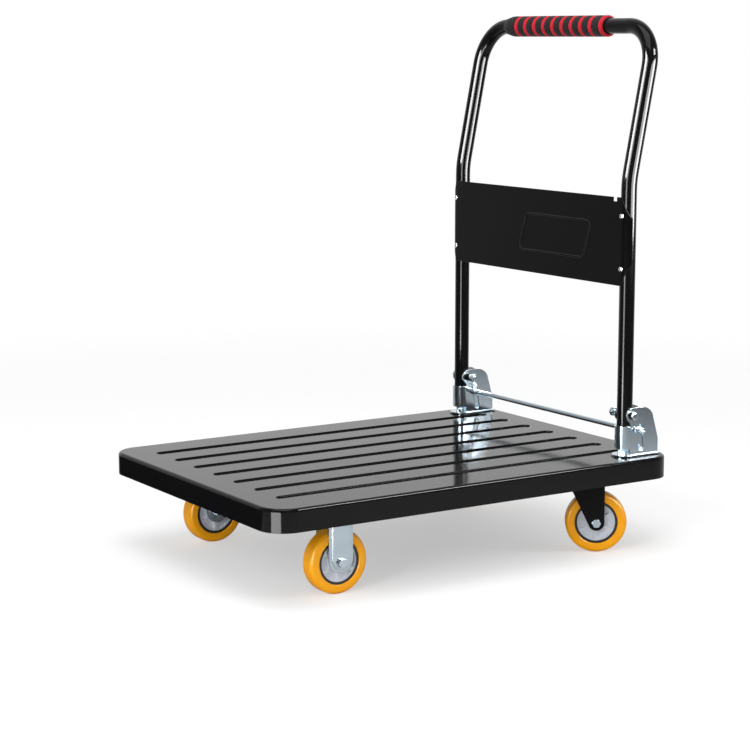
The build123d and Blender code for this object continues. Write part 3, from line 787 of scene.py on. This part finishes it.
@dataclass
class FoamGrip:
    """Foam sleeve on the top bar, with red rings let into it; sizes in millimetres.

    roll_along and swell_along are shares of the lip, and ring_crown is pairs of a share of the
    ring's half width and a drop from its top.
    """

    shop: Workshop
    bar_x: float = 352.8
    bar_z: float = 849.0
    bore: float = 12.75
    radius: float = 17.2
    near_end: float = -112.0
    far_end: float = 160.0
    end_drop: float = 0.4
    end_round: float = 0.5
    taper: float = 14.0
    taper_wall: float = 1.5
    shoulder_reach: float = 1.5
    shoulder_drop: float = 0.4
    shoulder_round: float = 0.5
    shoulder_lip: float = 1.0
    first_ring: float = 121.8
    ring_pitch: float = 25.2
    ring_count: int = 9
    ring_width: float = 9.0
    ring_depth: float = 3.0
    ring_gap: float = 0.1
    ring_proud: float = 0.35
    ring_crown: tuple[Span, ...] = ((1.0, 1.6), (0.9, 0.7), (0.7, 0.2), (0.35, 0.0))
    lip: float = 1.1
    roll_along: float = 0.35
    roll_drop: float = 0.35
    swell: float = 0.25
    swell_along: float = 3.2
    steps: int = 72

    def ring_middles(self) -> list[float]:
        """Where the rings stand, from the far end; the last closes the near end."""
        rings = [self.first_ring - i * self.ring_pitch for i in range(self.ring_count)]
        return rings + [self.near_end + self.ring_width / 2]

    def centre(self) -> Vector:
        """Point on the bar's axis."""
        return Vector((self.bar_x, 0, self.bar_z)) * MM

    def rolled_edge(self, wall: float, inward: int) -> list[Span]:
        """Profile from a ring's groove over the foam's rolled edge to its swollen middle.

        Args:
            wall: Y of the groove's wall.
            inward: Sign of Y from there to the foam's middle.

        Returns:
            Pairs of Y and radius.
        """
        rise = [(0.0, self.radius - self.ring_depth), (0.0, self.radius - self.lip)]
        rise += [(self.roll_along, self.radius - self.roll_drop), (1.0, self.radius)]
        rise += [(self.swell_along, self.radius + self.swell)]
        return [(wall + inward * along * self.lip, r) for along, r in rise]

    def band(self, high: float, low: float) -> list[Span]:
        """Profile of the foam between two rings, swollen between rolled edges."""
        return self.rolled_edge(high, -1) + self.rolled_edge(low, 1)[::-1]

    def tapered_end(self) -> list[Span]:
        """Profile of the far end, from the bore over the taper to the swollen foam.

        Returns:
            Pairs of Y and radius.
        """
        small = self.bore + self.taper_wall
        shoulder = self.far_end - self.taper
        profile = [(self.far_end, self.bore), (self.far_end, small - self.end_drop)]
        profile += [(self.far_end - self.end_round, small)]
        profile += [(shoulder + self.shoulder_reach, self.radius - self.shoulder_drop)]
        profile += [(shoulder - self.shoulder_round, self.radius)]
        return profile + self.rolled_edge(shoulder - self.shoulder_lip, -1)[-1:]

    def sleeve(self) -> bmesh.types.BMesh:
        """Spin the sleeve with its grooves.

        Returns:
            The closed sleeve.
        """
        half = self.ring_width / 2
        middles = self.ring_middles()
        profile = self.tapered_end() + self.rolled_edge(middles[0] + half, 1)[::-1]
        for upper, lower in zip(middles, middles[1:]):
            profile += self.band(upper - half, lower + half)
        profile += [(self.near_end, self.radius - self.ring_depth), (self.near_end, self.bore)]
        return self.shop.revolve(profile, self.centre(), self.steps)

    def ring(self, middle: float) -> bmesh.types.BMesh:
        """Spin one ring with a crowned outside and rolled edges.

        Args:
            middle: Y of the ring's middle.

        Returns:
            The closed ring.
        """
        half = self.ring_width / 2 - self.ring_gap
        top = self.radius + self.ring_proud
        side = [(1.0, self.radius - self.ring_depth + self.ring_gap)]
        side += [(share, top - drop) for share, drop in self.ring_crown]
        profile = [(middle + share * half, r) for share, r in side]
        profile += [(middle - share * half, r) for share, r in reversed(side)]
        return self.shop.revolve(profile, self.centre(), self.steps)

    def build(self) -> list[bpy.types.Object]:
        """Make the sleeve and its rings.

        Returns:
            The pieces.
        """
        sleeve = self.shop.fit(self.sleeve(), "grip_sleeve", Slot.FOAM, "handle", "handle_grip")
        shape = self.shop.joined([self.ring(middle) for middle in self.ring_middles()])
        rings = self.shop.fit(shape, "grip_red_rings", Slot.RING, "handle", "grip_rings")
        return [sleeve, rings]


@dataclass
class LockSprings:
    """Tension springs of the lock, made from their CAD wire; sizes in millimetres."""

    shop: Workshop
    pin_x: float = 307.6
    pin_z: float = 226.5
    rod_x: float = ROD_X
    rod_z: float = ROD_Z
    hook: float = 5.2

    def build(self) -> list[bpy.types.Object]:
        """Make both springs from their CAD wire.

        Returns:
            The pieces.
        """
        pieces = []
        for side in Side:
            node = f"spring_{side.word}"
            bm = bmesh.new()
            bm.from_mesh(frame["nodes"][node].data)
            bmesh.ops.remove_doubles(bm, verts=bm.verts, dist=MERGE)
            made = self.shop.mesh_object(bm, f"lock_spring_{side.word}", Slot.SPRING)
            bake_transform(made)
            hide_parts(node)
            pieces.append(made)
        return pieces


@dataclass
class ScrewThreads:
    """Rolled threads on the ends of the lock rod and the axles; sizes in millimetres.

    flank is the share of the pitch from a ridge's crest to its foot.
    """

    shop: Workshop
    radius: float = 4.0
    pitch: float = 1.25
    flank: float = 0.36
    height: float = 0.3
    sink: float = 0.12
    steps: int = 20
    rod_x: float = ROD_X
    rod_z: float = ROD_Z
    rod_nut_end: float = 253.7
    rod_length: float = 6.2
    front_nut_end: float = 27.5
    rear_nut_end: float = 25.5
    axle_length: float = 3.0

    def ridge(self, start: Vector, way: Vector, length: float) -> bmesh.types.BMesh:
        """Wind one ridge along a plain end.

        Args:
            start: Point on the axis where the thread begins.
            way: Direction along the axis.
            length: Length of the thread.

        Returns:
            The closed ridge.
        """
        bm = bmesh.new()
        side = way.orthogonal().normalized()
        base = start + way * (self.pitch / 2)
        half = way * (self.pitch * self.flank)
        low = side * (self.radius - self.sink)
        top = side * (self.radius + self.height)
        points = [bm.verts.new(p * MM) for p in (base + low - half, base + top, base + low + half)]
        count = round((length / self.pitch - 1) * self.steps)
        bmesh.ops.spin(
            bm,
            geom=[bm.faces.new(points)],
            cent=start * MM,
            axis=way,
            dvec=way * (self.pitch / self.steps * MM),
            angle=FULL_TURN * count / self.steps,
            steps=count,
            use_merge=False,
        )
        return self.shop.seal(bm)

    def rod_end(self, side: Side) -> bmesh.types.BMesh:
        """Thread on one end of the lock rod, beyond its nut.

        Args:
            side: Side of the cart.

        Returns:
            The closed ridge.
        """
        way = Vector((0, side.value, 0))
        start = Vector((self.rod_x, side.value * self.rod_nut_end, self.rod_z))
        return self.ridge(start, way, self.rod_length)

    def axle_end(self, end: str, side: Side, nut_end: float) -> bmesh.types.BMesh:
        """Thread on the end of an axle, beyond its nut.

        Args:
            end: Front or rear.
            side: Side of the cart.
            nut_end: Distance from the wheel's middle to the nut's outer face.

        Returns:
            The closed ridge.
        """
        joint = joint_row(f"wheel_{end}_{side.word}_spin")
        way = Vector(joint["axis"]).normalized()
        start = Vector(joint["pos_m"]) / MM + way * nut_end
        return self.ridge(start, way, self.axle_length)

    def build(self) -> list[bpy.types.Object]:
        """Wind every thread and fix it to its body.

        Returns:
            The pieces.
        """
        rod = self.shop.joined([self.rod_end(side) for side in Side])
        pieces = [self.shop.fit(rod, "rod_threads", Slot.ZINC, "lock")]
        front = self.shop.joined([self.axle_end("front", side, self.front_nut_end) for side in Side])
        pieces.append(self.shop.fit(front, "front_axle_threads", Slot.ZINC, "platform"))
        for side in Side:
            rear = self.axle_end("rear", side, self.rear_nut_end)
            name = f"rear_axle_threads_{side.word}"
            pieces.append(self.shop.fit(rear, name, Slot.ZINC, f"swivel_{side.word}"))
        return pieces


def put_up(made: bpy.types.Object, at: Triple, aim: Triple) -> None:
    """Place a lamp or the camera, turn it to a point and put it into the scene.

    Args:
        made: The lamp or camera.
        at: Where it stands.
        aim: Point that it faces.
    """
    made.location = at
    made.rotation_euler = (Vector(aim) - Vector(at)).to_track_quat("-Z", "Y").to_euler()
    bpy.context.scene.collection.objects.link(made)


@dataclass(frozen=True)
class Lamp:
    """Soft box or strip that lights the cart; sizes in metres, power in watts."""

    name: str
    at: Triple
    aim: Triple
    size: Span
    power: float
    beam: Beam
    reach: Reach = Reach.ALL

    def hang(self) -> None:
        """Put the lamp up and choose what it lights."""
        data = bpy.data.lights.new(self.name, "AREA")
        data.shape = "RECTANGLE"
        data.size, data.size_y = self.size
        data.energy = self.power
        made = bpy.data.objects.new(self.name, data)
        made.visible_camera = False
        made.visible_diffuse = self.beam is not Beam.GLINT
        made.visible_glossy = self.beam is not Beam.FILL
        put_up(made, self.at, self.aim)
        if self.reach is Reach.NO_FLATS:
            self.spare_flats(made)
        elif self.reach is Reach.TUBE:
            self.keep_to_tube(made)

    @staticmethod
    def spare_flats(lamp: bpy.types.Object) -> None:
        """Keep a lamp off the flat pieces and the foam, which would show it in other views.

        Args:
            lamp: The lamp.
        """
        spared = bpy.data.collections.new(f"{lamp.name}_spares")
        for node in ("deck", "handle_panel"):
            spared.objects.link(frame["nodes"][node])
        for piece in ("grip_sleeve", "grip_red_rings"):
            spared.objects.link(bpy.data.objects[piece])
        for link in spared.collection_objects:
            link.light_linking.link_state = "EXCLUDE"
        lamp.light_linking.receiver_collection = spared

    @staticmethod
    def keep_to_tube(lamp: bpy.types.Object) -> None:
        """Let a lamp light the handle's tube alone.

        Args:
            lamp: The lamp.
        """
        lit = bpy.data.collections.new(f"{lamp.name}_lights")
        lit.objects.link(frame["nodes"]["handle_tube"])
        lamp.light_linking.receiver_collection = lit


# Points that the lamps face, in metres; the last is on the line of the deck's rim, past its end.
MIDDLE: Triple = (0.0, 0.0, 0.35)
LEGS: Triple = (0.3, 0.0, 0.67)
UPPER_LEGS: Triple = (0.33, 0.0, 0.72)
FRONT_CORNER: Triple = (-0.36, -0.26, 0.14)
RIM_LINE: Triple = (1.5, -0.27, 0.16)

LAMPS = (
    Lamp("top_box", (-0.6, -0.4, 2.9), MIDDLE, (2.4, 2.0), 42.0, Beam.FULL),
    Lamp("left_box", (-2.7, -1.45, 1.25), MIDDLE, (0.9, 2.0), 52.0, Beam.FILL),
    Lamp("right_box", (2.3, -2.0, 1.5), MIDDLE, (0.9, 1.4), 24.0, Beam.FILL),
    Lamp("side_strip", (-0.716, -0.443, 0.67), LEGS, (0.34, 1.3), 25.0, Beam.GLINT, Reach.NO_FLATS),
    Lamp("front_strip", (0.65, -1.1, 0.72), LEGS, (1.0, 0.6), 47.0, Beam.GLINT, Reach.NO_FLATS),
    Lamp("side_line", (-0.8, -0.02, 1.07), UPPER_LEGS, (0.6, 0.6), 74.0, Beam.GLINT, Reach.TUBE),
    Lamp("front_line", (0.84, -1.04, 0.72), UPPER_LEGS, (0.45, 0.6), 30.0, Beam.GLINT, Reach.TUBE),
    Lamp("corner_strip", (-0.716, -0.443, 0.075), FRONT_CORNER, (0.3, 0.13), 1.9, Beam.GLINT),
    Lamp("rim_strip", (1.5, -1.82, 1.9), RIM_LINE, (1.1, 0.5), 76.0, Beam.GLINT),
)


@dataclass
class Studio:
    """Pale floor, soft light, white background and the camera; sizes in metres."""

    camera_at: Triple = (-1.8123, -2.7694, 0.8335)
    camera_aim: Triple = (-0.01954, 0.01689, 0.28623)
    lens: float = 98.64
    sensor: float = 36.0
    floor_radius: float = 9.0
    floor_segments: int = 96
    floor_colour: Triple = (0.54, 0.54, 0.54)
    floor_grain: Grain = Grain(1.5)
    floor_grain_rough: float = 0.02
    floor_roughness: float = 0.79
    floor_specular: float = 0.1
    floor_glow: float = 0.45
    fade_start: float = 0.9
    fade_end: float = 2.6
    mirrored_fade_cut: float = 0.8
    card_half: float = 0.5
    card_at: Triple = (-0.92, 0.6, 0.002)
    card_colour: Triple = (0.004, 0.004, 0.004)
    backdrop_span: Span = (0.15, 0.7)
    ambient: float = 0.6
    room: float = 0.12

    def floor(self) -> None:
        """Lay a round floor that fades into the background."""
        bm = bmesh.new()
        shape = {"segments": self.floor_segments, "radius": self.floor_radius}
        bmesh.ops.create_circle(bm, cap_ends=True, **shape)
        made, graph = new_material("studio_floor")
        here = graph.node("ShaderNodeTexCoord", out="Object")
        reach = graph.node("ShaderNodeVectorMath", {"operation": "LENGTH"}, {0: here}, "Value")
        glow = lighter(WHITE, self.floor_glow)
        fade_end = self.fade_end - graph.ray(Ray.GLOSSY) * self.mirrored_fade_cut
        graph.surface(
            Base_Color=opaque(self.floor_colour),
            Roughness=graph.noise(self.floor_grain) * self.floor_grain_rough + self.floor_roughness,
            Specular_IOR_Level=self.floor_specular,
            Emission_Color=graph.mix(graph.ray(Ray.CAMERA), BLACK, glow),
            Emission_Strength=1.0,
            Alpha=1.0 - graph.between(reach, self.fade_start, fade_end),
        )
        floor = new_object(bm, "studio_floor", made)

    def card(self) -> None:
        """Lay a black card beside the front end, which only reflections show."""
        bm = bmesh.new()
        bmesh.ops.create_grid(bm, x_segments=1, y_segments=1, size=self.card_half)
        made, graph = new_material("studio_card")
        colour = opaque(self.card_colour)
        graph.surface(Base_Color=colour, Roughness=1.0, Specular_IOR_Level=0.0)
        card = new_object(bm, "studio_card", made)
        card.location = self.card_at
        for rays in ("camera", "diffuse", "transmission", "shadow"):
            setattr(card, f"visible_{rays}", False)

    def world(self) -> None:
        """White behind the cart, a dim room in front of it, and even light from all round."""
        world = bpy.data.worlds.new("studio")
        world.use_nodes = True
        bpy.context.scene.world = world
        graph = Graph(world.node_tree)
        way = graph.node("ShaderNodeTexCoord", out="Generated")
        behind = (Vector(self.camera_aim) - Vector(self.camera_at)).normalized()
        facing = graph.dot(way, (behind.x, behind.y, 0.0))
        backdrop = graph.between(facing, *self.backdrop_span)
        camera = graph.ray(Ray.CAMERA)
        mirrored = (graph.ray(Ray.GLOSSY) + graph.ray(Ray.THROUGH)).at_most(1.0 - camera)
        seen = backdrop * (1.0 - self.room) + self.room
        strength = camera + mirrored * seen + (1.0 - camera - mirrored) * self.ambient
        values = {"Color": opaque(WHITE), "Strength": strength}
        light = graph.node("ShaderNodeBackground", None, values)
        graph.node("ShaderNodeOutputWorld", None, {"Surface": light})

    def camera(self) -> None:
        """Set the camera up at the photograph's angle."""
        data = bpy.data.cameras.new("camera")
        data.lens = self.lens
        data.sensor_width = self.sensor
        made = bpy.data.objects.new("camera", data)
        put_up(made, self.camera_at, self.camera_aim)
        bpy.context.scene.camera = made

    def build(self) -> None:
        """Set up the whole studio."""
        self.floor()
        self.card()
        self.world()
        for lamp in LAMPS:
            lamp.hang()
        self.camera()
        bpy.context.scene.view_settings.view_transform = "Standard"


def main() -> None:
    """Dress every CAD node, build every sub-assembly in order and report each piece."""
    logging.basicConfig(level=logging.INFO, format="%(name)s %(message)s")
    paint = Paintbox()
    for node in frame["nodes"]:
        LOG.info("%s: %s", node, paint.dress(node).value)
    shop = Workshop(paint)
    for assembly in (FoamGrip(shop), LockSprings(shop), ScrewThreads(shop)):
        for piece in assembly.build():
            LOG.info("%s: %d faces", piece.name, len(piece.data.polygons))
    Studio().build()


if __name__ == "__main__":
    main()
